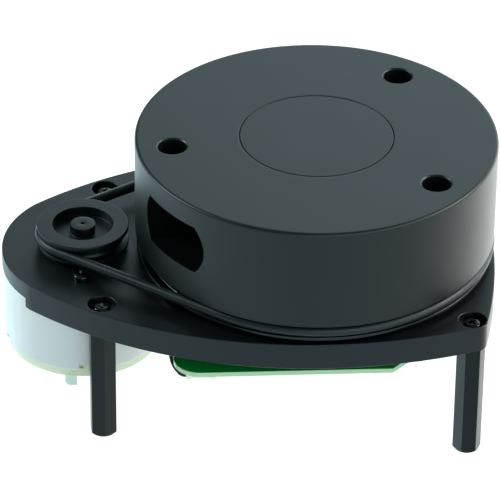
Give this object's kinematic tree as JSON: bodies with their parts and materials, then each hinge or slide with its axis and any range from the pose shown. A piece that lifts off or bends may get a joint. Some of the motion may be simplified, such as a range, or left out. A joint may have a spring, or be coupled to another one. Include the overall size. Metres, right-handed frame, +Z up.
{
  "type": "lidar scanner module",
  "caption": "Round spinning scanner head on a flat plate with standoffs, turned by a small motor under one end through a round rubber belt.",
  "frame": {"origin": "on the floor under the middle of the module's bounding box", "axes": "+X from the motor towards the turret along the module's long axis, +Z up along the turret's axis"},
  "size_m": [0.0963, 0.0702, 0.0547],
  "materials": {
    "moulded_black": "satin black moulding",
    "black_metal": "black plated metal, satin",
    "screw_steel": "black oxide steel",
    "belt_rubber": "smooth black rubber",
    "can_steel": "bright zinc plate",
    "bearing_steel": "ground steel",
    "cap_plastic": "pale green moulding",
    "socket_plastic": "off-white moulding",
    "board_green": "green solder mask",
    "board_black": "black solder mask",
    "chip_black": "moulded package",
    "tinned": "tin plate",
    "brass": "turned brass",
    "copper": "enamelled copper wire",
    "iron_grey": "sintered magnet and stacked iron",
    "lens_glass": "polished",
    "lead_black": "smooth insulation",
    "lead_red": "smooth insulation"
  },
  "bodies": {
    "base": {"base_plate": "moulded_black", "standoff_1": "black_metal", "standoff_2": "black_metal", "standoff_3": "black_metal", "standoff_4": "black_metal", "standoff_screw_1": "screw_steel", "standoff_screw_2": "screw_steel", "standoff_screw_3": "screw_steel", "standoff_screw_4": "screw_steel", "motor_can": "can_steel", "motor_magnet": "iron_grey", "motor_bush": "brass", "motor_end_cap": "cap_plastic", "motor_terminal_1": "tinned", "motor_terminal_2": "tinned", "motor_screw_1": "screw_steel", "motor_screw_2": "screw_steel", "drive_belt": "belt_rubber", "main_board": "board_green", "board_screw_1": "screw_steel", "board_screw_2": "screw_steel", "board_screw_3": "screw_steel", "board_header": "socket_plastic", "header_pins": "tinned", "controller_chip": "chip_black", "power_inductor": "iron_grey", "lead_socket": "socket_plastic", "motor_lead_black": "lead_black", "motor_lead_red": "lead_red", "bearing_outer_ring": "bearing_steel", "speed_sensor": "chip_black", "brush_block": "moulded_black", "brush_fingers": "brass"},
    "cage": {"bearing_cage": "bearing_steel"},
    "pulley": {"motor_pulley": "moulded_black", "motor_shaft": "bearing_steel", "motor_armature": "iron_grey", "motor_winding": "copper", "motor_commutator": "copper"},
    "rotor": {"rotor_deck": "moulded_black", "bearing_inner_ring": "bearing_steel", "retaining_clip": "bearing_steel", "rotor_cover": "moulded_black", "centre_disc": "moulded_black", "cover_screw_1": "screw_steel", "cover_screw_2": "screw_steel", "cover_screw_3": "screw_steel", "encoder_ring": "moulded_black", "rotor_board": "board_black", "rotor_chip": "chip_black", "optics_bracket": "moulded_black", "laser_housing": "brass", "laser_lens": "lens_glass", "lens_barrel": "black_metal", "receiver_lens": "lens_glass", "sensor_board": "board_black", "slip_core": "moulded_black", "slip_ring_1": "brass", "slip_ring_2": "brass", "slip_ring_3": "brass"}
  },
  "joints": [
    {"name": "drum_spin", "type": "hinge", "parent": "base", "child": "rotor", "pos_m": [0.01295, 0, 0.0272], "axis": [0, 0, 1], "continuous": true},
    {"name": "pulley_spin", "type": "hinge", "parent": "base", "child": "pulley", "pos_m": [-0.03225, 0, 0.0272], "axis": [0, 0, 1], "continuous": true},
    {"name": "cage_spin", "type": "hinge", "parent": "base", "child": "cage", "pos_m": [0.01295, 0, 0.0272], "axis": [0, 0, 1], "continuous": true}
  ],
  "couplings": [
    {"joint": "pulley_spin", "follows": "drum_spin", "ratio": 4.0714},
    {"joint": "cage_spin", "follows": "drum_spin", "ratio": 0.466}
  ]
}
